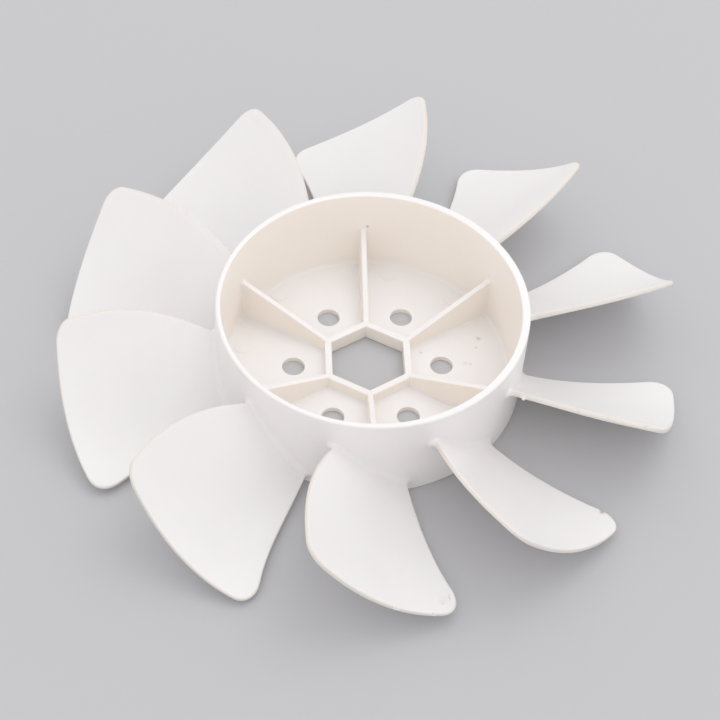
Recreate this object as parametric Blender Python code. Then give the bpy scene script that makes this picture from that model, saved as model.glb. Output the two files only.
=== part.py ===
"""Cooling fan of a hydrostatic transmission, moulded in one piece from natural nylon.

A cup-shaped hub, open at the top, carries ten cambered blades on its outer wall. Its floor has a
hexagonal hole with a raised collar, six bolt holes, and six ribs that run from the corners of the
collar up the inside of the wall. Metres, +Z up. The origin is the middle of the hub's underside.
"""

import math

import bmesh
import bpy
from mathutils import Vector

# Hub, a turned cup. The mould's draft makes its wall thicker at the foot than at the rim.
HUB_RADIUS = 0.0446
HUB_HEIGHT = 0.0290
HUB_WALL = 0.0021
HUB_WALL_FOOT = 0.0032
HUB_TAPER = 0.0002
FLOOR_THICKNESS = 0.0017
FLOOR_FILLET = 0.0013
RIM_INNER_ROUND = 0.0003
RIM_OUTER_ROUND = 0.0006
UNDERSIDE_EDGE_ROUND = 0.0008

# Hexagonal hole and the collar round it
HEX_ACROSS_FLATS = 0.0210
HEX_UNDERSIDE_CHAMFER = 0.0006
COLLAR_WALL = 0.0020
COLLAR_HEIGHT = 0.0054

# Ribs, which start at the collar's corners
RIB_COUNT = 6
RIB_THICKNESS = 0.0017
RIB_TOP_SHARE = 0.545
RIB_EDGE_ROUND = 0.0003
FIRST_RIB_ANGLE = math.radians(35.6)

# Bolt holes, half way between the ribs
BOLT_HOLE_DIAMETER = 0.0066
BOLT_CIRCLE_RADIUS = 0.0217

# Blades
BLADE_COUNT = 10
FAN_RADIUS = 0.0893
BLADE_ROOT_THICKNESS = 0.0015
BLADE_TIP_THICKNESS = 0.0013
BLADE_ROOT_FILLET = 0.0018
BLADE_EDGE_BEVEL = 0.0005
HIGH_CORNER_RADIUS = 0.0036
LOW_CORNER_RADIUS = 0.0072
FIRST_BLADE_ANGLE = math.radians(201.0)

# Four sections of a blade, evenly spaced from the hub to the tip. Angles are from the blade's own
# middle line, and heights and the camber's depth are shares of the hub's height.
HIGH_EDGE_ANGLES = [math.radians(angle) for angle in (-12.9, -14.7, -13.4, -10.5)]
LOW_EDGE_ANGLES = [math.radians(angle) for angle in (13.4, 13.8, 14.6, 17.0)]
HIGH_EDGE_SHARES = (0.67, 0.905, 1.02, 1.03)
LOW_EDGE_SHARES = (0.12, 0.07, 0.09, 0.07)
CAMBER_SHARES = (0.02, 0.125, 0.185, 0.195)
CAMBER_SKEWS = (0.6, 0.33, 0.07, -0.2)

# How far the tip edge falls short of the full radius at the high end, the middle and the low end
TIP_DROP_HIGH = 0.0013
TIP_DROP_MIDDLE = 0.0
TIP_DROP_LOW = 0.0006

# Each blade came out of the mould a little differently: how high its tip sits, as a share of the
# hub's height, and how far it leans round the hub
TIP_LIFT_SHARES = (-0.005, 0.005, 0.0, 0.04, -0.025, 0.0, -0.025, 0.01, 0.05, -0.035)
TIP_LEANS = [math.radians(angle) for angle in (0, -0.3, -0.4, 0.5, 0, -0.1, -0.2, 0.2, 0.4, 0)]

# How finely curves are divided
HUB_STEPS = 96
HOLE_STEPS = 24
ROUND_STEPS = 3
FILLET_STEPS = 4
HIGH_CORNER_STEPS = 3
LOW_CORNER_STEPS = 4
ROOT_FILLET_STEPS = 2
TIP_STEPS = 5
SPAN_STEPS = 8

# How far a cutter runs past what it cuts
OVERRUN = 0.0010

NYLON_COLOUR = (0.88, 0.85, 0.80, 1.0)
NYLON_ROUGHNESS = 0.42


def clear_scene():
    for obj in list(bpy.data.objects):
        bpy.data.objects.remove(obj)


def nylon():
    material = bpy.data.materials.new("natural_nylon")
    material.use_nodes = True
    shader = material.node_tree.nodes["Principled BSDF"]
    shader.inputs["Base Color"].default_value = NYLON_COLOUR
    shader.inputs["Roughness"].default_value = NYLON_ROUGHNESS
    shader.inputs["Metallic"].default_value = 0.0
    return material


def new_object(name, mesh_edit):
    """An object whose mesh is what mesh_edit holds, with its faces pointing out."""
    bmesh.ops.recalc_face_normals(mesh_edit, faces=mesh_edit.faces)
    mesh = bpy.data.meshes.new(name)
    mesh_edit.to_mesh(mesh)
    mesh_edit.free()
    obj = bpy.data.objects.new(name, mesh)
    bpy.context.scene.collection.objects.link(obj)
    return obj


def arc(centre, radius, start, end, steps):
    """Points (x, y) of an arc from the angle start to the angle end, in degrees."""
    turns = [math.radians(start + (end - start) * step / steps) for step in range(steps + 1)]
    return [(centre[0] + radius * math.cos(turn), centre[1] + radius * math.sin(turn)) for turn in turns]


def inner_radius(height):
    """The radius of the cup's inner wall, which widens from the floor to the rim."""
    share = (height - FLOOR_THICKNESS) / (HUB_HEIGHT - FLOOR_THICKNESS)
    return HUB_RADIUS - HUB_WALL_FOOT + (HUB_WALL_FOOT - HUB_WALL) * share


def cup_profile():
    """The cup's closed half section, as (radius, height) points from the floor's underside round."""
    bore = hex_corner_radius() / 2
    lean = math.degrees(math.atan2(HUB_WALL_FOOT - HUB_WALL, HUB_HEIGHT - FLOOR_THICKNESS))
    low = UNDERSIDE_EDGE_ROUND
    outer = RIM_OUTER_ROUND
    inner = RIM_INNER_ROUND
    fillet = FLOOR_FILLET
    rim_inside = inner_radius(HUB_HEIGHT)
    foot_inside = inner_radius(FLOOR_THICKNESS + fillet)
    points = [(bore, 0)]
    points += arc((HUB_RADIUS - low, low), low, -90, 0, ROUND_STEPS)
    points += arc((HUB_RADIUS - HUB_TAPER - outer, HUB_HEIGHT - outer), outer, 0, 90, ROUND_STEPS)
    points += arc((rim_inside + inner, HUB_HEIGHT - inner), inner, 90, 180 - lean, ROUND_STEPS)
    points += arc((foot_inside - fillet, FLOOR_THICKNESS + fillet), fillet, -lean, -90, FILLET_STEPS)
    points += [(bore, FLOOR_THICKNESS)]
    return points


def turned_cup():
    mesh_edit = bmesh.new()
    corners = [mesh_edit.verts.new((radius, 0, height)) for radius, height in cup_profile()]
    edges = [mesh_edit.edges.new(pair) for pair in zip(corners, corners[1:] + corners[:1])]
    bmesh.ops.spin(
        mesh_edit,
        geom=corners + edges,
        cent=(0, 0, 0),
        axis=(0, 0, 1),
        angle=math.tau,
        steps=HUB_STEPS,
        use_merge=True,
    )
    return new_object("cooling_fan", mesh_edit)


def hex_corner_radius():
    return HEX_ACROSS_FLATS / 2 / math.cos(math.pi / RIB_COUNT)


def prism(name, outline, bottom, top, top_scale=1.0):
    """An upright prism on the outline, a list of (x, y) points, whose top may be wider or narrower."""
    mesh_edit = bmesh.new()
    base = mesh_edit.faces.new([mesh_edit.verts.new((x, y, bottom)) for x, y in outline])
    raised = bmesh.ops.extrude_face_region(mesh_edit, geom=[base])["geom"]
    corners = [part for part in raised if isinstance(part, bmesh.types.BMVert)]
    bmesh.ops.scale(mesh_edit, verts=corners, vec=(top_scale, top_scale, 1.0))
    bmesh.ops.translate(mesh_edit, verts=corners, vec=(0, 0, top - bottom))
    return new_object(name, mesh_edit)


def regular_outline(radius, sides, first_angle):
    turns = [first_angle + math.tau * side / sides for side in range(sides)]
    return [(radius * math.cos(turn), radius * math.sin(turn)) for turn in turns]


def collar():
    wall_at_corner = COLLAR_WALL / math.cos(math.pi / RIB_COUNT)
    outline = regular_outline(hex_corner_radius() + wall_at_corner, RIB_COUNT, FIRST_RIB_ANGLE)
    return prism("collar", outline, FLOOR_THICKNESS / 2, COLLAR_HEIGHT)


def hex_cutter():
    outline = regular_outline(hex_corner_radius(), RIB_COUNT, FIRST_RIB_ANGLE)
    return prism("hex_cutter", outline, -OVERRUN, COLLAR_HEIGHT + OVERRUN)


def hex_chamfer_cutter():
    """Cuts the chamfer at 45 degrees round the hexagonal hole's lower edge."""
    apothem = HEX_ACROSS_FLATS / 2
    widening = (apothem + HEX_UNDERSIDE_CHAMFER + OVERRUN) / apothem
    outline = regular_outline(hex_corner_radius() * widening, RIB_COUNT, FIRST_RIB_ANGLE)
    return prism("hex_chamfer_cutter", outline, -OVERRUN, HEX_UNDERSIDE_CHAMFER, 1 / widening)


def bolt_hole_cutter(index):
    turn = FIRST_RIB_ANGLE + math.tau * (index + 0.5) / RIB_COUNT
    outline = regular_outline(BOLT_HOLE_DIAMETER / 2, HOLE_STEPS, 0)
    cutter = prism(f"bolt_hole_cutter_{index + 1}", outline, -OVERRUN, FLOOR_THICKNESS + OVERRUN)
    cutter.location = (BOLT_CIRCLE_RADIUS * math.cos(turn), BOLT_CIRCLE_RADIUS * math.sin(turn), 0)
    return cutter


def rib(index):
    """A web of four corners, from the collar's corner up to the wall, with its top edges bevelled."""
    start = hex_corner_radius() + COLLAR_WALL / 2
    end = HUB_RADIUS - HUB_WALL / 2
    bottom = FLOOR_THICKNESS / 2
    height_at_wall = HUB_HEIGHT * RIB_TOP_SHARE
    slope = (height_at_wall - COLLAR_HEIGHT) / (inner_radius(height_at_wall) - start)
    end_height = COLLAR_HEIGHT + slope * (end - start)
    side = [(start, bottom), (end, bottom), (end, end_height), (start, COLLAR_HEIGHT)]
    mesh_edit = bmesh.new()
    half = RIB_THICKNESS / 2
    base = mesh_edit.faces.new([mesh_edit.verts.new((x, -half, z)) for x, z in side])
    raised = bmesh.ops.extrude_face_region(mesh_edit, geom=[base])["geom"]
    corners = [part for part in raised if isinstance(part, bmesh.types.BMVert)]
    bmesh.ops.translate(mesh_edit, verts=corners, vec=(0, RIB_THICKNESS, 0))
    sloping = [edge for edge in mesh_edit.edges if is_top_edge(edge)]
    bmesh.ops.bevel(
        mesh_edit, geom=sloping, offset=RIB_EDGE_ROUND, segments=1, affect="EDGES", clamp_overlap=True
    )
    obj = new_object(f"rib_{index + 1}", mesh_edit)
    obj.rotation_euler.z = FIRST_RIB_ANGLE + math.tau * index / RIB_COUNT
    return obj


def is_top_edge(edge):
    """Whether the edge runs along the rib's top, from the collar to the wall."""
    ends = [vert.co for vert in edge.verts]
    along = abs(ends[0].x - ends[1].x)
    return along > COLLAR_WALL and min(end.z for end in ends) > FLOOR_THICKNESS


def between_stations(values, span_share):
    """The smooth value at span_share of four values that are evenly spaced from 0 to 1."""
    last = len(values) - 1
    total = 0.0
    for i, value in enumerate(values):
        weight = 1.0
        for j in range(len(values)):
            if j != i:
                weight *= (span_share * last - j) / (i - j)
        total += value * weight
    return total


def middle_surface(radius, across, index):
    """A point of a blade's middle surface. Across runs from 0 at the high edge to 1 at the low one."""
    share = (radius - HUB_RADIUS) / (FAN_RADIUS - HUB_RADIUS)
    settled = max(share, 0.0)
    lift = TIP_LIFT_SHARES[index % len(TIP_LIFT_SHARES)] * settled
    lean = TIP_LEANS[index % len(TIP_LEANS)] * settled
    high_angle = between_stations(HIGH_EDGE_ANGLES, share)
    low_angle = between_stations(LOW_EDGE_ANGLES, share)
    high = between_stations(HIGH_EDGE_SHARES, share)
    low = between_stations(LOW_EDGE_SHARES, share)
    camber = between_stations(CAMBER_SHARES, share)
    skew = between_stations(CAMBER_SKEWS, share)
    turn = high_angle + (low_angle - high_angle) * across + lean
    sag = 4 * camber * across * (1 - across) * (1 + skew * (across - 0.5))
    height = high + (low - high) * across - sag + lift
    return Vector((radius * math.cos(turn), radius * math.sin(turn), height * HUB_HEIGHT))


def surface_normal(radius, across, index):
    """The direction straight out of the blade's lower face."""
    step_share = 0.001
    step = step_share * FAN_RADIUS
    outward = middle_surface(radius + step, across, index) - middle_surface(radius - step, across, index)
    left = middle_surface(radius, across - step_share, index)
    right = middle_surface(radius, across + step_share, index)
    return (right - left).cross(outward).normalized()


def root_flare(radius):
    """How far the fillet at the blade's root stands out from its faces and edges."""
    reach = BLADE_ROOT_FILLET - min(max(radius - HUB_RADIUS, 0.0), BLADE_ROOT_FILLET)
    return BLADE_ROOT_FILLET - math.sqrt(BLADE_ROOT_FILLET**2 - reach**2)


def half_thickness(radius):
    """Half the blade's thickness, which grows into the fillet where the blade leaves the hub."""
    share = (radius - HUB_RADIUS) / (FAN_RADIUS - HUB_RADIUS)
    plain = BLADE_ROOT_THICKNESS + (BLADE_TIP_THICKNESS - BLADE_ROOT_THICKNESS) * share
    return plain / 2 + root_flare(radius)


def corner_shares():
    """How much of the blade's width each rounded corner of the tip takes up."""
    width = FAN_RADIUS * (LOW_EDGE_ANGLES[-1] - HIGH_EDGE_ANGLES[-1])
    return HIGH_CORNER_RADIUS / width, LOW_CORNER_RADIUS / width


def tip_radius(across):
    """The radius of the tip's edge, with a gentle bow and its two corners rounded off."""
    drop = between_stations((TIP_DROP_HIGH, TIP_DROP_MIDDLE, TIP_DROP_LOW), across)
    high_share, low_share = corner_shares()
    if across < high_share:
        drop += HIGH_CORNER_RADIUS * (1 - math.sqrt(max(1 - (1 - across / high_share) ** 2, 0.0)))
    if across > 1 - low_share:
        drop += LOW_CORNER_RADIUS * (1 - math.sqrt(max(1 - (1 - (1 - across) / low_share) ** 2, 0.0)))
    return FAN_RADIUS - drop


def columns_across():
    """Where the blade's columns lie, closer together round the tip's corners."""
    high_share, low_share = corner_shares()
    quarter = math.pi / 2
    high = [high_share * (1 - math.cos(quarter * i / HIGH_CORNER_STEPS)) for i in range(HIGH_CORNER_STEPS)]
    width = 1 - low_share - high_share
    middle = [high_share + width * i / TIP_STEPS for i in range(TIP_STEPS)]
    turns = [quarter * i / LOW_CORNER_STEPS for i in range(LOW_CORNER_STEPS + 1)]
    low = [1 - low_share * (1 - math.sin(turn)) for turn in turns]
    return high + middle + low


def row_radii(end):
    """The radii of the blade's rows, from inside the hub's wall to end."""
    turns = [math.pi / 2 * i / ROOT_FILLET_STEPS for i in range(ROOT_FILLET_STEPS)]
    fillet = [HUB_RADIUS + BLADE_ROOT_FILLET * (1 - math.cos(turn)) for turn in turns]
    start = HUB_RADIUS + BLADE_ROOT_FILLET
    plain = [start + (end - start) * i / SPAN_STEPS for i in range(SPAN_STEPS + 1)]
    return [HUB_RADIUS - HUB_WALL / 2] + fillet + plain


def skin_column(across, index, side):
    """Points up one column of the blade's lower (side 1) or upper (side -1) skin, inside its edge."""
    points = []
    for radius in row_radii(tip_radius(across) - BLADE_EDGE_BEVEL):
        inset = BLADE_EDGE_BEVEL / (radius * (LOW_EDGE_ANGLES[0] - HIGH_EDGE_ANGLES[0]))
        inner = inset + (1 - 2 * inset) * across
        offset = surface_normal(radius, inner, index) * half_thickness(radius)
        points.append(middle_surface(radius, inner, index) + offset * side)
    return points


def edge_column(across, index):
    """Points up one column of the blade's outline, half way between the skins."""
    points = []
    for radius in row_radii(tip_radius(across)):
        spread = root_flare(radius) / (radius * (LOW_EDGE_ANGLES[0] - HIGH_EDGE_ANGLES[0]))
        points.append(middle_surface(radius, across + spread * (2 * across - 1), index))
    return points


def stitch(mesh_edit, first, second):
    """Faces between two rows of corners."""
    for i in range(len(first) - 1):
        mesh_edit.faces.new((first[i], first[i + 1], second[i + 1], second[i]))


def blade(index):
    """A loft: an upper and a lower skin, and a bevelled edge that joins them round three sides."""
    mesh_edit = bmesh.new()
    columns = columns_across()
    high_edge, low_edge = [
        [mesh_edit.verts.new(point) for point in edge_column(across, index)] for across in (0, 1)
    ]
    tip = [mesh_edit.verts.new(edge_column(across, index)[-1]) for across in columns[1:-1]]
    tip = [high_edge[-1]] + tip + [low_edge[-1]]
    root_lines = []
    for side in (1, -1):
        skin = []
        for across in columns:
            skin.append([mesh_edit.verts.new(point) for point in skin_column(across, index, side)])
        for column, next_column in zip(skin, skin[1:]):
            stitch(mesh_edit, column, next_column)
        stitch(mesh_edit, skin[0], high_edge)
        stitch(mesh_edit, skin[-1], low_edge)
        stitch(mesh_edit, [column[-1] for column in skin], tip)
        root_lines.append([column[0] for column in skin])
    lower_root, upper_root = root_lines
    stitch(mesh_edit, lower_root, upper_root)
    mesh_edit.faces.new((lower_root[0], upper_root[0], high_edge[0]))
    mesh_edit.faces.new((lower_root[-1], upper_root[-1], low_edge[0]))
    bmesh.ops.triangulate(mesh_edit, faces=mesh_edit.faces)
    obj = new_object(f"blade_{index + 1}", mesh_edit)
    obj.rotation_euler.z = FIRST_BLADE_ANGLE - math.tau * index / BLADE_COUNT
    return obj


def combine(target, tool, operation):
    """Adds the tool to the target or cuts it away, and keeps the tool as a hidden guide."""
    modifier = target.modifiers.new(tool.name, "BOOLEAN")
    modifier.operation = operation
    modifier.solver = "EXACT"
    modifier.object = tool
    tool.hide_render = True
    tool.display_type = "WIRE"


def build():
    clear_scene()
    fan = turned_cup()
    fan.data.materials.append(nylon())
    combine(fan, collar(), "UNION")
    for index in range(RIB_COUNT):
        combine(fan, rib(index), "UNION")
    for index in range(BLADE_COUNT):
        combine(fan, blade(index), "UNION")
    combine(fan, hex_cutter(), "DIFFERENCE")
    combine(fan, hex_chamfer_cutter(), "DIFFERENCE")
    for index in range(RIB_COUNT):
        combine(fan, bolt_hole_cutter(index), "DIFFERENCE")
    fan.data.shade_smooth()
    fan.data.set_sharp_from_angle(angle=math.radians(30))


build()
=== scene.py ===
"""Looks of a cooling fan moulded in one piece from natural nylon.

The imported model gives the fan's place and size. This script makes its fine surface, with the fillets,
rounded edges, ejector marks and nicks of the real moulding, and its ivory, slightly translucent nylon.
Metres, +Z up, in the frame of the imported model.
"""

import math

import bmesh
import bpy
from mathutils import Matrix, Vector


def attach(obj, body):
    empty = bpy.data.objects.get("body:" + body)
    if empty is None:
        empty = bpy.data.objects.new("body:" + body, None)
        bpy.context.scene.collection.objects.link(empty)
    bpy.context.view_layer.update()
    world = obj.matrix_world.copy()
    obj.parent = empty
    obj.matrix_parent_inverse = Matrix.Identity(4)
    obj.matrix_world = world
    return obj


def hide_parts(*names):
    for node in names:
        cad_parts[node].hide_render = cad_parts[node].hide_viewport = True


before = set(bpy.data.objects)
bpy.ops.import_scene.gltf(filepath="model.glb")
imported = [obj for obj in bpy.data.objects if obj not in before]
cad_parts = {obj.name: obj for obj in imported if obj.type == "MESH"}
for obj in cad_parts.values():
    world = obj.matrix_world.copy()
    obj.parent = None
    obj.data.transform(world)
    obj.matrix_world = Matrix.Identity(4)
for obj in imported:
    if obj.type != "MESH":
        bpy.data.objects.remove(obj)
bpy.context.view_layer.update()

# Hub, a turned cup. The mould's draft makes its wall thicker at the foot than at the rim. The mould's
# outer half sat a little off centre: at the rim, the hub's outside lies off by the rim shift.
HUB_RADIUS = 0.0446
HUB_HEIGHT = 0.0290
HUB_WALL = 0.0021
HUB_WALL_FOOT = 0.0032
HUB_TAPER = 0.0002
RIM_SHIFT = (0.00045, 0.0003)
FLOOR_THICKNESS = 0.0017
FLOOR_FILLET = 0.0013
RIM_INNER_ROUND = 0.0004
RIM_OUTER_ROUND = 0.0006
UNDERSIDE_EDGE_ROUND = 0.0008

# Hexagonal hole and the collar round it
HEX_ACROSS_FLATS = 0.0210
HEX_CORNER_ROUND = 0.0003
HEX_TOP_ROUND = 0.00025
HEX_UNDERSIDE_CHAMFER = 0.0006
COLLAR_WALL = 0.0020
COLLAR_HEIGHT = 0.0054
COLLAR_FOOT_FILLET = 0.0006

# Ribs, which start at the collar's corners
RIB_COUNT = 6
RIB_THICKNESS = 0.0016
RIB_TOP_SHARE = 0.545
RIB_EDGE_ROUND = 0.0003
RIB_FOOT_FILLET = 0.0006
RIB_DRAFT = math.radians(0.5)
FIRST_RIB_ANGLE = math.radians(35.6)

# Bolt holes, half way between the ribs
BOLT_HOLE_DIAMETER = 0.0066
BOLT_CIRCLE_RADIUS = 0.0217
BOLT_HOLE_EDGE_ROUND = 0.00015

# Blades
BLADE_COUNT = 10
FAN_RADIUS = 0.0893
BLADE_ROOT_THICKNESS = 0.0015
BLADE_TIP_THICKNESS = 0.0013
BLADE_ROOT_FILLET = 0.0018
BLADE_EDGE_ROUND = 0.00045
HIGH_CORNER_RADIUS = 0.0036
LOW_CORNER_RADIUS = 0.0072
FIRST_BLADE_ANGLE = math.radians(201.0)

# Four sections of a blade, evenly spaced from the hub to the tip. Angles are from the blade's own
# middle line, and heights and the camber's depth are shares of the hub's height.
HIGH_EDGE_ANGLES = [math.radians(angle) for angle in (-12.9, -14.7, -13.4, -10.5)]
LOW_EDGE_ANGLES = [math.radians(angle) for angle in (13.4, 13.8, 14.6, 17.0)]
HIGH_EDGE_SHARES = (0.67, 0.905, 1.02, 1.03)
LOW_EDGE_SHARES = (0.12, 0.07, 0.09, 0.07)
CAMBER_SHARES = (0.02, 0.125, 0.185, 0.195)
CAMBER_SKEWS = (0.6, 0.33, 0.07, -0.2)

# How far the tip edge falls short of the full radius at the high end, the middle and the low end
TIP_DROP_HIGH = 0.0013
TIP_DROP_MIDDLE = 0.0
TIP_DROP_LOW = 0.0006

# How high each blade's tip sits, as a share of the hub's height, and how far it leans round the hub
TIP_LIFT_SHARES = (-0.005, 0.005, 0.0, 0.04, -0.025, 0.0, -0.025, 0.01, 0.05, -0.035)
TIP_LEANS = [math.radians(angle) for angle in (0, -0.3, -0.4, 0.5, 0, -0.1, -0.2, 0.2, 0.4, 0)]

# Low round marks that the mould's ejector pins left on the floor: angle and distance from the axis
EJECTOR_MARKS = [
    (math.radians(50.1), 0.0371),
    (math.radians(83.6), 0.0370),
    (math.radians(138.0), 0.0379),
    (math.radians(173.9), 0.0372),
]
EJECTOR_MARK_RADIUS = 0.0024
EJECTOR_MARK_HEIGHT = 0.0002

# Nicks in the blades' edges: blade, share across, distance from the axis and the nick's radius
EDGE_NICKS = [
    (7, 1.0, 0.0817, 0.0005),
    (8, 1.0, 0.0605, 0.0004),
    (8, 0.08, 0.0890, 0.0004),
    (8, 0.52, 0.0898, 0.0008),
    (8, 0.76, 0.0895, 0.0007),
]

# Gouges in the blades' upper faces, given in the same way, and how deep they go
GOUGES = [(8, 0.87, 0.0854, 0.0006), (8, 0.95, 0.0834, 0.0005)]
GOUGE_DEPTH = 0.0003

# A burr under a blade's high edge, given in the same way, and how far it stands out
BURR = (6, 0.014, 0.0497, 0.0007)
BURR_HEIGHT = 0.0004

# Nylon: two ivory tones, a cream painted on the upright faces inside the cup as the glow of light that
# has passed through the walls and gathers there, a darker tone painted along the blades' edges as
# their shade, and how rough the nylon is at its smoothest and roughest. The radius says how far each
# colour of light goes under the surface, as a share of the scale.
NYLON_LIGHT = (0.925, 0.905, 0.895, 1.0)
NYLON_DARK = (0.905, 0.882, 0.868, 1.0)
PAINTED_GLOW_CREAM = (0.97, 0.91, 0.845, 1.0)
PAINTED_EDGE_SHADE = (0.80, 0.75, 0.69, 1.0)
NYLON_ROUGHNESS = (0.36, 0.46)
NYLON_IOR = 1.53
SUBSURFACE_WEIGHT = 0.12
SUBSURFACE_SCALE = 0.001
SUBSURFACE_RADIUS = (1.0, 0.75, 0.5)

# A face inside the cup gets all of the painted cream glow where the upward part of its normal is below
# the first value, and none of it where it is above the second
UPRIGHT_NORMAL = 0.1
LEVEL_NORMAL = 0.9

# The noise that mixes the two ivory tones, the noise that mixes the two roughnesses and the fine grain:
# how fine and how detailed each one is, and over which of its values it goes from one to the other
MOTTLE_SCALE = 30.0
MOTTLE_DETAIL = 3.0
MOTTLE_RANGE = (0.35, 0.65)
SATIN_SCALE = 140.0
SATIN_DETAIL = 2.0
SATIN_RANGE = (0.3, 0.7)
GRAIN_SCALE = 1500.0
GRAIN_DETAIL = 2.0
GRAIN_DEPTH = 0.00001

# Dark specks and smudges: where each one is, its radius and how dark it is
SPECKS = [
    ((-0.0029, 0.0419, 0.0167), 0.0007, 0.9),
    ((-0.0379, 0.0181, 0.0175), 0.0006, 0.25),
    ((0.0339, 0.0247, 0.0171), 0.0006, 0.25),
    ((0.0323, 0.0134, 0.0017), 0.0009, 0.6),
    ((0.0316, 0.0098, 0.0017), 0.0007, 0.35),
    ((0.0154, 0.0064, 0.0017), 0.0007, 0.45),
    ((0.0202, 0.0044, 0.0017), 0.0005, 0.3),
    ((0.0300, 0.0033, 0.0017), 0.0008, 0.3),
    ((0.0286, 0.0035, 0.0017), 0.0010, 0.25),
    ((0.0296, -0.0110, 0.0017), 0.0018, 0.2),
    # The darkest spot lies in the nick of the first of EDGE_NICKS, at a blade's low tip corner
    ((0.0670, -0.0481, 0.0037), 0.0010, 1.0),
    ((0.0754, -0.0376, 0.0294), 0.0007, 0.3),
    ((0.0654, -0.0354, 0.0290), 0.0006, 0.25),
    ((0.0576, -0.0325, 0.0278), 0.0008, 0.15),
    ((0.0242, -0.0811, 0.0053), 0.0018, 0.1),
]
SPECK_COLOUR = (0.42, 0.37, 0.30, 1.0)

# Scratches across the floor and near a blade's tip: where each one starts and ends, its half width
# and how dark it is
SCRATCHES = [
    ((0.0168, -0.0092, 0.0017), (0.0256, -0.0132, 0.0017), 0.0002, 0.2),
    ((0.0255, -0.0791, 0.0046), (0.0258, -0.0807, 0.0049), 0.0003, 0.5),
    ((0.0232, -0.0822, 0.0055), (0.0243, -0.0825, 0.0055), 0.0003, 0.4),
]

# How finely curves are divided
HUB_STEPS = 288
HOLE_STEPS = 48
ROUND_STEPS = 4
FILLET_STEPS = 6
CORNER_STEPS = 8
TIP_STEPS = 30
SPAN_STEPS = 26
PEG_STEPS = 12
RIB_SPAN_STEPS = 12
RIB_RISE_STEPS = 6
RIB_FINE_STEPS = 10

# Where faces meet at more than this angle, the shading shows an edge
SHARP_ANGLE = math.radians(50)

# How far a cutter runs past what it cuts
OVERRUN = 0.0010

# The light of the studio's dome near the floor and overhead, how high on the dome it is all overhead
# light, and the backdrop that the camera sees
DOME_LOW = (0.98, 0.955, 0.945, 1.0)
DOME_HIGH = (0.965, 0.965, 0.985, 1.0)
DOME_HIGH_FROM = 0.8
BACKDROP = (0.60, 0.60, 0.61, 1.0)

# The round lamp overhead, which points at the fan
LAMP_PLACE = (0.3, 0.3, 1.1)
LAMP_SIZE = 0.8
LAMP_POWER = 1.8
LAMP_COLOUR = (0.96, 0.97, 1.0)

# The studio's floor
FLOOR_SIZE = 8.0
FLOOR_COLOUR = (0.55, 0.55, 0.56, 1.0)
FLOOR_ROUGHNESS = 0.9

# Camera, as measured in the photograph: the fan's origin is seen at the aim pixel
PHOTO_SIZE = 720
SENSOR_WIDTH = 36.0
FOCAL_PIXELS = 1843.5
CAMERA_DISTANCE = 0.54054
CAMERA_ELEVATION = math.radians(50.32)
CAMERA_ROLL = math.radians(3.92)
AIM_PIXEL = (367.37, 369.43)


class Surface:
    """Points and faces of one closed shape while it is being built."""

    def __init__(self):
        self.points = []
        self.faces = []

    def row(self, points):
        start = len(self.points)
        self.points.extend(points)
        return list(range(start, len(self.points)))

    def stitch(self, first, second, closed=False):
        count = len(first)
        for i in range(count if closed else count - 1):
            j = (i + 1) % count
            self.faces.append((first[i], first[j], second[j], second[i]))

    def cap(self, corners):
        self.faces.append(tuple(corners))

    def finish(self, name):
        mesh = bpy.data.meshes.new(name)
        mesh.from_pydata(self.points, [], self.faces)
        mesh_edit = bmesh.new()
        mesh_edit.from_mesh(mesh)
        bmesh.ops.recalc_face_normals(mesh_edit, faces=mesh_edit.faces)
        mesh_edit.to_mesh(mesh)
        mesh_edit.free()
        obj = bpy.data.objects.new(name, mesh)
        bpy.context.scene.collection.objects.link(obj)
        return obj


def polar(radius, turn, height):
    return Vector((radius * math.cos(turn), radius * math.sin(turn), height))


def arc(centre, radius, start, end, steps):
    """Points (x, y) of an arc from the angle start to the angle end, in degrees."""
    turns = [math.radians(start + (end - start) * step / steps) for step in range(steps + 1)]
    return [(centre[0] + radius * math.cos(turn), centre[1] + radius * math.sin(turn)) for turn in turns]


def flare(distance, radius):
    """How far a fillet of that radius stands out at a distance from the surface that it meets."""
    reach = radius - min(max(distance, 0.0), radius)
    return radius - math.sqrt(radius**2 - reach**2)


def hex_corner_radius():
    return HEX_ACROSS_FLATS / 2 / math.cos(math.pi / RIB_COUNT)


def inner_radius(height):
    """The radius of the cup's inner wall, which widens from the floor to the rim."""
    share = (height - FLOOR_THICKNESS) / (HUB_HEIGHT - FLOOR_THICKNESS)
    return HUB_RADIUS - HUB_WALL_FOOT + (HUB_WALL_FOOT - HUB_WALL) * share


def outer_radius(turn, height):
    """The radius of the hub's outer wall, which tapers to the rim and leans a little off centre."""
    shift = RIM_SHIFT[0] * math.cos(turn) + RIM_SHIFT[1] * math.sin(turn)
    return HUB_RADIUS + (shift - HUB_TAPER) * height / HUB_HEIGHT


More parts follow.
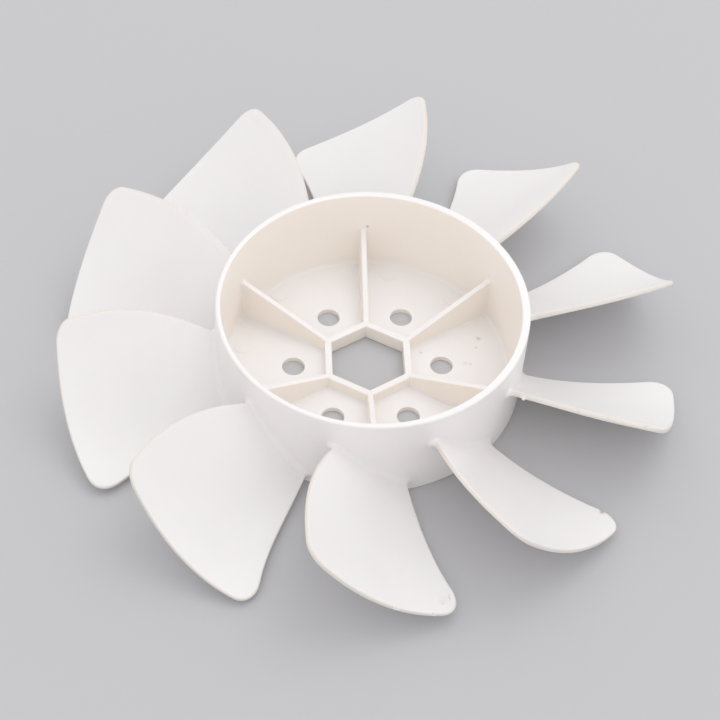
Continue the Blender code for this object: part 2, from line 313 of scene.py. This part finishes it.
def cup():
    """The cup, its closed half section turned round the axis."""
    bore = hex_corner_radius() / 2
    lean = math.degrees(math.atan2(HUB_WALL_FOOT - HUB_WALL, HUB_HEIGHT - FLOOR_THICKNESS))
    low = UNDERSIDE_EDGE_ROUND
    outer = RIM_OUTER_ROUND
    inner = RIM_INNER_ROUND
    fillet = FLOOR_FILLET
    rim_inside = inner_radius(HUB_HEIGHT)
    foot_inside = inner_radius(FLOOR_THICKNESS + fillet)
    insets = [(HUB_RADIUS - bore, 0)]
    insets += arc((low, low), low, 270, 180, FILLET_STEPS)
    insets += arc((outer, HUB_HEIGHT - outer), outer, 180, 90, ROUND_STEPS)
    inside = arc((rim_inside + inner, HUB_HEIGHT - inner), inner, 90, 180 - lean, ROUND_STEPS)
    inside += arc((foot_inside - fillet, FLOOR_THICKNESS + fillet), fillet, -lean, -90, FILLET_STEPS)
    inside += [(bore, FLOOR_THICKNESS)]
    surface = Surface()
    turns = [math.tau * step / HUB_STEPS for step in range(HUB_STEPS)]
    rings = []
    for inset, height in insets:
        rings.append(surface.row([polar(outer_radius(turn, height) - inset, turn, height) for turn in turns]))
    for radius, height in inside:
        rings.append(surface.row([polar(radius, turn, height) for turn in turns]))
    for ring, next_ring in zip(rings, rings[1:] + rings[:1]):
        surface.stitch(ring, next_ring, closed=True)
    return surface.finish("fan_moulding")


def rounded_hexagon(apothem, corner_round, height):
    """Corners of a hexagon with its corners rounded, at the height."""
    half_turn = math.pi / RIB_COUNT
    centre = (apothem - corner_round) / math.cos(half_turn)
    points = []
    for side in range(RIB_COUNT):
        corner = FIRST_RIB_ANGLE + math.tau * side / RIB_COUNT
        middle = polar(centre, corner, height)
        for step in range(ROUND_STEPS + 1):
            turn = corner - half_turn + 2 * half_turn * step / ROUND_STEPS
            points.append(middle + polar(corner_round, turn, 0))
    return points


def stack(name, rings):
    """A solid through closed rings of equally many points, capped at both ends."""
    surface = Surface()
    rows = [surface.row(ring) for ring in rings]
    for row, next_row in zip(rows, rows[1:]):
        surface.stitch(row, next_row, closed=True)
    surface.cap(rows[0])
    surface.cap(rows[-1])
    return surface.finish(name)


def collar():
    """The raised hexagon, solid here, with a fillet at its foot and its top edge rounded."""
    apothem = HEX_ACROSS_FLATS / 2 + COLLAR_WALL
    foot = COLLAR_FOOT_FILLET
    top = HEX_TOP_ROUND
    levels = [(apothem + foot, FLOOR_THICKNESS / 2)]
    levels += arc((apothem + foot, FLOOR_THICKNESS + foot), foot, 270, 180, FILLET_STEPS)
    levels += arc((apothem - top, COLLAR_HEIGHT - top), top, 0, 90, ROUND_STEPS)
    return stack("collar", [rounded_hexagon(wide, HEX_CORNER_ROUND, height) for wide, height in levels])


def hex_cutter():
    """The hexagonal hole, which opens out a little at its top and at the underside."""
    apothem = HEX_ACROSS_FLATS / 2
    top = HEX_TOP_ROUND
    low = HEX_UNDERSIDE_CHAMFER
    levels = [(apothem + low, -OVERRUN), (apothem + low, 0), (apothem, low)]
    levels += arc((apothem + top, COLLAR_HEIGHT - top), top, 180, 90, ROUND_STEPS)
    levels += [(apothem + top, COLLAR_HEIGHT + OVERRUN)]
    return stack("hex_cutter", [rounded_hexagon(wide, HEX_CORNER_ROUND, height) for wide, height in levels])


def round_stack(name, centre, levels, steps=HOLE_STEPS):
    """A turned solid about an upright line through centre, from its (radius, height) levels."""
    turns = [math.tau * step / steps for step in range(steps)]
    rings = [[centre + polar(radius, turn, height) for turn in turns] for radius, height in levels]
    return stack(name, rings)


def bolt_hole_cutter(index):
    turn = FIRST_RIB_ANGLE + math.tau * (index + 0.5) / RIB_COUNT
    radius = BOLT_HOLE_DIAMETER / 2
    edge = BOLT_HOLE_EDGE_ROUND
    levels = [(radius + edge, -OVERRUN)]
    levels += arc((radius + edge, edge), edge, 270, 180, ROUND_STEPS)
    levels += arc((radius + edge, FLOOR_THICKNESS - edge), edge, 180, 90, ROUND_STEPS)
    levels += [(radius + edge, FLOOR_THICKNESS + OVERRUN)]
    return round_stack(f"bolt_hole_cutter_{index + 1}", polar(BOLT_CIRCLE_RADIUS, turn, 0), levels)


def ejector_mark(index):
    turn, distance = EJECTOR_MARKS[index]
    top = FLOOR_THICKNESS + EJECTOR_MARK_HEIGHT
    levels = [(EJECTOR_MARK_RADIUS, FLOOR_THICKNESS / 2), (EJECTOR_MARK_RADIUS, top)]
    return round_stack(f"ejector_mark_{index + 1}", polar(distance, turn, 0), levels)


def cup_clearance(radius, height):
    """The distance from a point inside the cup to its floor, wall or the fillet between them."""
    to_wall = inner_radius(height) - radius
    to_floor = height - FLOOR_THICKNESS
    if to_wall < FLOOR_FILLET and to_floor < FLOOR_FILLET:
        return FLOOR_FILLET - math.hypot(FLOOR_FILLET - to_wall, FLOOR_FILLET - to_floor)
    return min(to_wall, to_floor)


def rib_length():
    """How far a rib reaches from inside the collar's corner to the wall, at the height of its end."""
    return inner_radius(HUB_HEIGHT * RIB_TOP_SHARE) - hex_corner_radius() - COLLAR_WALL / 2


def rib_top(to_wall):
    """The height of a rib's top, from the collar's top up to the wall, with a small fillet there."""
    share = 1 - min(max(to_wall / rib_length(), 0.0), 1.0)
    height = COLLAR_HEIGHT + (HUB_HEIGHT * RIB_TOP_SHARE - COLLAR_HEIGHT) * share
    return height + flare(to_wall, RIB_FOOT_FILLET / 2)


def rib_column(to_wall, side):
    """Points up one side of a rib, at a distance from the wall, and over its rounded top edge."""
    top = rib_top(to_wall)
    round_start = top - RIB_EDGE_ROUND
    fine = FLOOR_FILLET + RIB_FOOT_FILLET
    low_end = min(FLOOR_THICKNESS + fine, round_start)
    low_step = (low_end - FLOOR_THICKNESS) / RIB_FINE_STEPS
    high_step = (round_start - low_end) / RIB_RISE_STEPS
    heights = [FLOOR_THICKNESS / 2]
    heights += [FLOOR_THICKNESS + low_step * i for i in range(RIB_FINE_STEPS)]
    heights += [low_end + high_step * i for i in range(RIB_RISE_STEPS)]
    section = []
    for height in heights:
        clearance = cup_clearance(inner_radius(height) - to_wall, height)
        half = RIB_THICKNESS / 2 + flare(clearance, RIB_FOOT_FILLET) + (top - height) * math.tan(RIB_DRAFT)
        section.append((half, height))
    wide = RIB_THICKNESS / 2 + flare(to_wall, RIB_FOOT_FILLET)
    for inset, height in arc((RIB_EDGE_ROUND, round_start), RIB_EDGE_ROUND, 180, 90, ROUND_STEPS):
        section.append((wide - inset, height))
    return [Vector((inner_radius(height) - to_wall, side * half, height)) for half, height in section]


def rib(index):
    """A web with drafted sides, fillets along the floor and the wall, and rounded top edges."""
    fine = FLOOR_FILLET + RIB_FOOT_FILLET
    plain = rib_length() - fine
    distances = [rib_length() - plain * i / RIB_SPAN_STEPS for i in range(RIB_SPAN_STEPS)]
    distances += [fine * (1 - i / RIB_FINE_STEPS) for i in range(RIB_FINE_STEPS + 1)]
    distances += [-HUB_WALL / 2]
    surface = Surface()
    left, right = [[surface.row(rib_column(to_wall, side)) for to_wall in distances] for side in (-1, 1)]
    for columns in (left, right):
        for column, next_column in zip(columns, columns[1:]):
            surface.stitch(column, next_column)
    for end in (0, -1):
        surface.stitch([column[end] for column in left], [column[end] for column in right])
        surface.stitch(left[end], right[end])
    obj = surface.finish(f"rib_{index + 1}")
    obj.rotation_euler.z = FIRST_RIB_ANGLE + math.tau * index / RIB_COUNT
    return obj


def between_stations(values, span_share):
    """The smooth value at span_share of values that are evenly spaced from 0 to 1."""
    last = len(values) - 1
    total = 0.0
    for i, value in enumerate(values):
        weight = 1.0
        for j in range(len(values)):
            if j != i:
                weight *= (span_share * last - j) / (i - j)
        total += value * weight
    return total


def middle_surface(radius, across, index):
    """A point of a blade's middle surface. Across runs from 0 at the high edge to 1 at the low one."""
    share = (radius - HUB_RADIUS) / (FAN_RADIUS - HUB_RADIUS)
    settled = max(share, 0.0)
    lift = TIP_LIFT_SHARES[index] * settled
    lean = TIP_LEANS[index] * settled
    high_angle = between_stations(HIGH_EDGE_ANGLES, share)
    low_angle = between_stations(LOW_EDGE_ANGLES, share)
    high = between_stations(HIGH_EDGE_SHARES, share)
    low = between_stations(LOW_EDGE_SHARES, share)
    camber = between_stations(CAMBER_SHARES, share)
    skew = between_stations(CAMBER_SKEWS, share)
    turn = high_angle + (low_angle - high_angle) * across + lean
    sag = 4 * camber * across * (1 - across) * (1 + skew * (across - 0.5))
    height = high + (low - high) * across - sag + lift
    return polar(radius, turn, height * HUB_HEIGHT)


def surface_normal(radius, across, index):
    """The direction straight out of the blade's lower face."""
    step_share = 0.001
    step = step_share * FAN_RADIUS
    outward = middle_surface(radius + step, across, index) - middle_surface(radius - step, across, index)
    left = middle_surface(radius, across - step_share, index)
    right = middle_surface(radius, across + step_share, index)
    return (right - left).cross(outward).normalized()


def half_thickness(radius):
    """Half the blade's thickness, leaving out the fillet at its root."""
    share = (radius - HUB_RADIUS) / (FAN_RADIUS - HUB_RADIUS)
    return (BLADE_ROOT_THICKNESS + (BLADE_TIP_THICKNESS - BLADE_ROOT_THICKNESS) * share) / 2


def blade_turn(index):
    return FIRST_BLADE_ANGLE - math.tau * index / BLADE_COUNT


def foot_radius(across, index):
    """The radius at which a column of the blade leaves the hub's outer wall."""
    foot = middle_surface(HUB_RADIUS, across, index)
    return outer_radius(math.atan2(foot.y, foot.x) + blade_turn(index), foot.z)


def corner_shares():
    """How much of the blade's width each rounded corner of the tip takes up."""
    width = FAN_RADIUS * (LOW_EDGE_ANGLES[-1] - HIGH_EDGE_ANGLES[-1])
    return HIGH_CORNER_RADIUS / width, LOW_CORNER_RADIUS / width


def tip_radius(across):
    """The radius of the tip's edge, with a gentle bow and its two corners rounded off."""
    drop = between_stations((TIP_DROP_HIGH, TIP_DROP_MIDDLE, TIP_DROP_LOW), across)
    high_share, low_share = corner_shares()
    if across < high_share:
        drop += HIGH_CORNER_RADIUS * (1 - math.sqrt(max(1 - (1 - across / high_share) ** 2, 0.0)))
    if across > 1 - low_share:
        drop += LOW_CORNER_RADIUS * (1 - math.sqrt(max(1 - (1 - (1 - across) / low_share) ** 2, 0.0)))
    return FAN_RADIUS - drop


def columns_across():
    """Where the blade's columns lie, closer together round the tip's corners."""
    high_share, low_share = corner_shares()
    quarter = math.pi / 2
    high = [high_share * (1 - math.cos(quarter * i / CORNER_STEPS)) for i in range(CORNER_STEPS)]
    width = 1 - low_share - high_share
    middle = [high_share + width * i / TIP_STEPS for i in range(TIP_STEPS)]
    low = [1 - low_share * (1 - math.sin(quarter * i / CORNER_STEPS)) for i in range(CORNER_STEPS + 1)]
    return high + middle + low


def row_radii(foot, end):
    """The radii of the blade's rows, from inside the hub's wall past the foot to end."""
    turns = [math.pi / 2 * i / FILLET_STEPS for i in range(FILLET_STEPS)]
    fillet = [foot + BLADE_ROOT_FILLET * (1 - math.cos(turn)) for turn in turns]
    start = foot + BLADE_ROOT_FILLET
    plain = [start + (end - start) * i / SPAN_STEPS for i in range(SPAN_STEPS + 1)]
    return [HUB_RADIUS - HUB_WALL / 2] + fillet + plain


def drawn_to_wall(point, distance, share, index):
    """The point moved by a share of the way to its distance from the hub's outer wall."""
    radius = math.hypot(point.x, point.y)
    wall = outer_radius(math.atan2(point.y, point.x) + blade_turn(index), point.z)
    stretch = 1 + share * ((wall + distance) / radius - 1)
    return Vector((point.x * stretch, point.y * stretch, point.z))


def blade_column(across, index, side, turn):
    """Points up one column of a skin, where its rounded edge has turned by the angle turn.

    A quarter turn is the skin itself and no turn its outline. The edge's rounding grows with the
    fillet at the hub, so the fillet runs round the blade's edges too.
    """
    edge = BLADE_EDGE_ROUND
    foot = foot_radius(across, index)
    points = []
    for radius in row_radii(foot, tip_radius(across) - edge * (1 - math.cos(turn))):
        spread = flare(radius - foot, BLADE_ROOT_FILLET)
        reach = edge + spread
        inset = edge - reach * math.cos(turn)
        rise = half_thickness(radius) - edge + reach * math.sin(turn)
        inset_share = inset / (radius * (LOW_EDGE_ANGLES[0] - HIGH_EDGE_ANGLES[0]))
        inner = inset_share + (1 - 2 * inset_share) * across
        offset = surface_normal(radius, inner, index) * rise
        point = middle_surface(radius, inner, index) + offset * side
        points.append(drawn_to_wall(point, radius - foot, spread / BLADE_ROOT_FILLET, index))
    return points


def outline_points(columns, index, side, turn):
    """Points up the blade's high edge, along its tip and down its low edge."""
    high = blade_column(columns[0], index, side, turn)
    tip = [blade_column(across, index, side, turn)[-1] for across in columns[1:-1]]
    low = blade_column(columns[-1], index, side, turn)
    return high + tip + low[::-1]


def blade(index):
    """A loft with an upper and a lower skin, joined round three sides by a rounded edge.

    The mesh attribute named edge is 1 along the blade's outline and falls to 0 where the skin begins.
    """
    surface = Surface()
    edge_shares = {}
    columns = columns_across()
    quarter = math.pi / 2
    edge_rows = []
    for side in (1, -1):
        skin = [surface.row(blade_column(across, index, side, quarter)) for across in columns]
        for column, next_column in zip(skin, skin[1:]):
            surface.stitch(column, next_column)
        skin_outline = skin[0] + [column[-1] for column in skin[1:-1]] + skin[-1][::-1]
        turns = [quarter * i / ROUND_STEPS for i in range(ROUND_STEPS)]
        rows = [surface.row(outline_points(columns, index, side, turn)) for turn in turns]
        for row, turn in zip(rows, turns):
            edge_shares.update((point, math.cos(turn)) for point in row)
        rows.append(skin_outline)
        for row, next_row in zip(rows, rows[1:]):
            surface.stitch(row, next_row)
        edge_rows.append((rows, [column[0] for column in skin]))
    (lower, lower_root), (upper, upper_root) = edge_rows
    surface.stitch(lower[0], upper[0])
    surface.stitch(lower_root, upper_root)
    for end in (0, -1):
        surface.stitch([row[end] for row in lower], [row[end] for row in upper])
    obj = surface.finish(f"blade_{index + 1}")
    edge = obj.data.attributes.new("edge", "FLOAT", "POINT")
    for point, share in edge_shares.items():
        edge.data[point].value = share
    obj.rotation_euler.z = blade_turn(index)
    return obj


def peg(name, place, low, high):
    """A round peg square to a blade, from low to high above its middle surface, narrower at low."""
    index, across, distance, radius = place
    levels = [(radius / 2, low), (radius, (low + high) / 2), (radius, high)]
    obj = round_stack(name, Vector(), levels, PEG_STEPS)
    upward = -surface_normal(distance, across, index)
    stand = Matrix.Translation(middle_surface(distance, across, index))
    stand = stand @ upward.to_track_quat("Z", "Y").to_matrix().to_4x4()
    obj.matrix_world = Matrix.Rotation(blade_turn(index), 4, "Z") @ stand
    return obj


def nick_cutters():
    """Pegs that cut the nicks and gouges of the real fan into its blades."""
    depth = 3 * BLADE_ROOT_THICKNESS
    cutters = [peg(f"nick_{i + 1}", nick, -depth, depth) for i, nick in enumerate(EDGE_NICKS)]
    for i, gouge in enumerate(GOUGES):
        top = half_thickness(gouge[2])
        cutters.append(peg(f"gouge_{i + 1}", gouge, top - GOUGE_DEPTH, top + GOUGE_DEPTH))
    return cutters


def burr():
    low = -half_thickness(BURR[2]) - BURR_HEIGHT
    return peg("burr", BURR, low, 0.0)


def combine(target, tools, operation):
    """Adds the tools to the target or cuts them away, and then deletes the tools."""
    for tool in tools:
        modifier = target.modifiers.new(tool.name, "BOOLEAN")
        modifier.operation = operation
        modifier.solver = "MANIFOLD"
        modifier.object = tool
    bpy.context.view_layer.update()
    depsgraph = bpy.context.evaluated_depsgraph_get()
    mesh = bpy.data.meshes.new_from_object(target.evaluated_get(depsgraph))
    target.modifiers.clear()
    target.data = mesh
    for tool in tools:
        bpy.data.objects.remove(tool)


def fan_moulding():
    fan = cup()
    solids = [collar()]
    solids += [rib(index) for index in range(RIB_COUNT)]
    solids += [blade(index) for index in range(BLADE_COUNT)]
    solids += [ejector_mark(index) for index in range(len(EJECTOR_MARKS))]
    solids.append(burr())
    combine(fan, solids, "UNION")
    cutters = [hex_cutter()] + [bolt_hole_cutter(index) for index in range(RIB_COUNT)]
    combine(fan, cutters + nick_cutters(), "DIFFERENCE")
    fan.data.shade_smooth()
    fan.data.set_sharp_from_angle(angle=SHARP_ANGLE)
    normals = fan.modifiers.new("even_normals", "WEIGHTED_NORMAL")
    normals.keep_sharp = True
    return fan


def wire(tree, kind, values, settings=None):
    """Adds a node, with each value set on its socket, or linked to it where it is another socket."""
    node = tree.nodes.new(kind)
    for name, setting in (settings or {}).items():
        setattr(node, name, setting)
    for name, value in values.items():
        if isinstance(value, bpy.types.NodeSocket):
            tree.links.new(value, node.inputs[name])
        else:
            node.inputs[name].default_value = value
    return node


def noise(tree, place, scale, detail):
    values = {"Vector": place, "Scale": scale, "Detail": detail}
    return wire(tree, "ShaderNodeTexNoise", values).outputs["Fac"]


def remap(tree, value, low, high, low_result, high_result):
    """The value turned into an even run from low_result at low to high_result at high."""
    values = {"Value": value, "From Min": low, "From Max": high, "To Min": low_result, "To Max": high_result}
    return wire(tree, "ShaderNodeMapRange", values).outputs["Result"]


def blend(tree, share, first, second):
    values = {"Factor": share, "A": first, "B": second}
    return wire(tree, "ShaderNodeMix", values, {"data_type": "RGBA"}).outputs["Result"]


def math_node(tree, operation, first, second):
    return wire(tree, "ShaderNodeMath", {0: first, 1: second}, {"operation": operation}).outputs["Value"]


def distance_from(tree, place, spot):
    settings = {"operation": "DISTANCE"}
    return wire(tree, "ShaderNodeVectorMath", {0: place, 1: spot}, settings).outputs["Value"]


def specks(tree, place):
    """How dark a point is, from the specks, the smudges and the scratches seen in the photograph."""
    cover = 0.0
    for spot, radius, darkness in SPECKS:
        speck = remap(tree, distance_from(tree, place, spot), 0.0, radius, darkness, 0.0)
        cover = math_node(tree, "MAXIMUM", cover, speck)
    for start, end, half_width, darkness in SCRATCHES:
        length = (Vector(end) - Vector(start)).length
        spread = 2 * (math.hypot(length / 2, half_width) - length / 2)
        from_start = distance_from(tree, place, start)
        from_ends = math_node(tree, "ADD", from_start, distance_from(tree, place, end))
        scratch = remap(tree, from_ends, length, length + spread, darkness, 0.0)
        cover = math_node(tree, "MAXIMUM", cover, scratch)
    return cover


def natural_nylon():
    """Ivory nylon, a little mottled, with a few specks and a fine moulded grain.

    It carries painted light: a cream glow painted on the upright faces inside the cup, and painted
    shade, a darker tone, along the blades' edges, which the blades' mesh attribute named edge marks.
    """
    material = bpy.data.materials.new("natural_nylon")
    material.use_nodes = True
    tree = material.node_tree
    shader = tree.nodes["Principled BSDF"]
    coordinates = tree.nodes.new("ShaderNodeTexCoord")
    place = coordinates.outputs["Object"]
    flat = wire(tree, "ShaderNodeVectorMath", {0: place, 1: (1.0, 1.0, 0.0)}, {"operation": "MULTIPLY"})
    length = wire(tree, "ShaderNodeVectorMath", {0: flat.outputs["Vector"]}, {"operation": "LENGTH"})
    from_axis = length.outputs["Value"]
    wall_top = HUB_RADIUS - HUB_WALL
    in_cup = remap(tree, from_axis, wall_top + RIM_INNER_ROUND, wall_top, 0.0, 1.0)
    facing_up = wire(tree, "ShaderNodeSeparateXYZ", {0: coordinates.outputs["Normal"]}).outputs["Z"]
    upright = remap(tree, facing_up, UPRIGHT_NORMAL, LEVEL_NORMAL, 1.0, 0.0)
    # Painted glow: cream painted on the upright faces inside the cup, for light that has passed through the
    # walls
    painted_glow = math_node(tree, "MULTIPLY", in_cup, upright)
    mottle = remap(tree, noise(tree, place, MOTTLE_SCALE, MOTTLE_DETAIL), *MOTTLE_RANGE, 0.0, 1.0)
    colour = blend(tree, mottle, NYLON_LIGHT, NYLON_DARK)
    colour = blend(tree, painted_glow, colour, PAINTED_GLOW_CREAM)
    past_root = remap(tree, from_axis, HUB_RADIUS, HUB_RADIUS + 2 * BLADE_ROOT_FILLET, 0.0, 1.0)
    edge = wire(tree, "ShaderNodeAttribute", {}, {"attribute_name": "edge"}).outputs["Fac"]
    # Painted shade: a darker tone painted along the blades' rounded edges, past their roots
    colour = blend(tree, math_node(tree, "MULTIPLY", edge, past_root), colour, PAINTED_EDGE_SHADE)
    colour = blend(tree, specks(tree, place), colour, SPECK_COLOUR)
    tree.links.new(colour, shader.inputs["Base Color"])
    satin = noise(tree, place, SATIN_SCALE, SATIN_DETAIL)
    tree.links.new(remap(tree, satin, *SATIN_RANGE, *NYLON_ROUGHNESS), shader.inputs["Roughness"])
    height = noise(tree, place, GRAIN_SCALE, GRAIN_DETAIL)
    grain = wire(tree, "ShaderNodeBump", {"Height": height, "Distance": GRAIN_DEPTH, "Strength": 1.0})
    tree.links.new(grain.outputs["Normal"], shader.inputs["Normal"])
    shader.inputs["IOR"].default_value = NYLON_IOR
    shader.inputs["Subsurface Weight"].default_value = SUBSURFACE_WEIGHT
    shader.inputs["Subsurface Radius"].default_value = SUBSURFACE_RADIUS
    shader.inputs["Subsurface Scale"].default_value = SUBSURFACE_SCALE
    return material


def floor():
    bpy.ops.mesh.primitive_plane_add(size=FLOOR_SIZE, location=(0, 0, 0))
    plane = bpy.context.object
    plane.name = "floor"
    material = bpy.data.materials.new("floor")
    material.use_nodes = True
    shader = material.node_tree.nodes["Principled BSDF"]
    shader.inputs["Base Color"].default_value = FLOOR_COLOUR
    shader.inputs["Roughness"].default_value = FLOOR_ROUGHNESS
    plane.data.materials.append(material)


def camera():
    """The camera, turned so that the fan's origin is seen at the aim pixel."""
    data = bpy.data.cameras.new("camera")
    data.sensor_width = SENSOR_WIDTH
    data.lens = SENSOR_WIDTH * FOCAL_PIXELS / PHOTO_SIZE
    obj = bpy.data.objects.new("camera", data)
    bpy.context.scene.collection.objects.link(obj)
    across = CAMERA_DISTANCE * math.cos(CAMERA_ELEVATION)
    place = Vector((0, -across, CAMERA_DISTANCE * math.sin(CAMERA_ELEVATION)))
    forward = -place.normalized()
    right = Vector((1, 0, 0))
    level = Matrix((right, forward.cross(right), forward))
    aim_x, aim_y = [(pixel - PHOTO_SIZE / 2) / FOCAL_PIXELS for pixel in AIM_PIXEL]
    swing = Vector((0, 0, 1)).rotation_difference(Vector((aim_x, aim_y, 1))).to_matrix()
    picture = swing @ Matrix.Rotation(CAMERA_ROLL, 3, "Z") @ level
    turned = Matrix((picture[0], -picture[1], -picture[2])).transposed()
    obj.matrix_world = Matrix.Translation(place) @ turned.to_4x4()
    bpy.context.scene.camera = obj


def overhead_lamp():
    data = bpy.data.lights.new("overhead", "AREA")
    data.shape = "DISK"
    data.size = LAMP_SIZE
    data.energy = LAMP_POWER
    data.color = LAMP_COLOUR
    obj = bpy.data.objects.new("overhead", data)
    bpy.context.scene.collection.objects.link(obj)
    obj.location = LAMP_PLACE
    obj.rotation_euler = (-Vector(LAMP_PLACE)).to_track_quat("-Z", "Y").to_euler()


def dome():
    """A pale dome of light, warmer low down than overhead. The camera sees the backdrop's colour."""
    world = bpy.data.worlds.new("studio")
    world.use_nodes = True
    bpy.context.scene.world = world
    tree = world.node_tree
    background = tree.nodes["Background"]
    way = tree.nodes.new("ShaderNodeTexCoord").outputs["Generated"]
    height = wire(tree, "ShaderNodeSeparateXYZ", {0: way}).outputs["Z"]
    light = blend(tree, remap(tree, height, 0.0, DOME_HIGH_FROM, 0.0, 1.0), DOME_LOW, DOME_HIGH)
    seen = tree.nodes.new("ShaderNodeLightPath").outputs["Is Camera Ray"]
    tree.links.new(blend(tree, seen, light, BACKDROP), background.inputs["Color"])


def main():
    bpy.context.scene.view_settings.view_transform = "Standard"
    camera()
    overhead_lamp()
    dome()
    floor()
    fan = fan_moulding()
    fan.data.materials.clear()
    fan.data.materials.append(natural_nylon())
    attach(fan, "root")
    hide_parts("cooling_fan")


main()
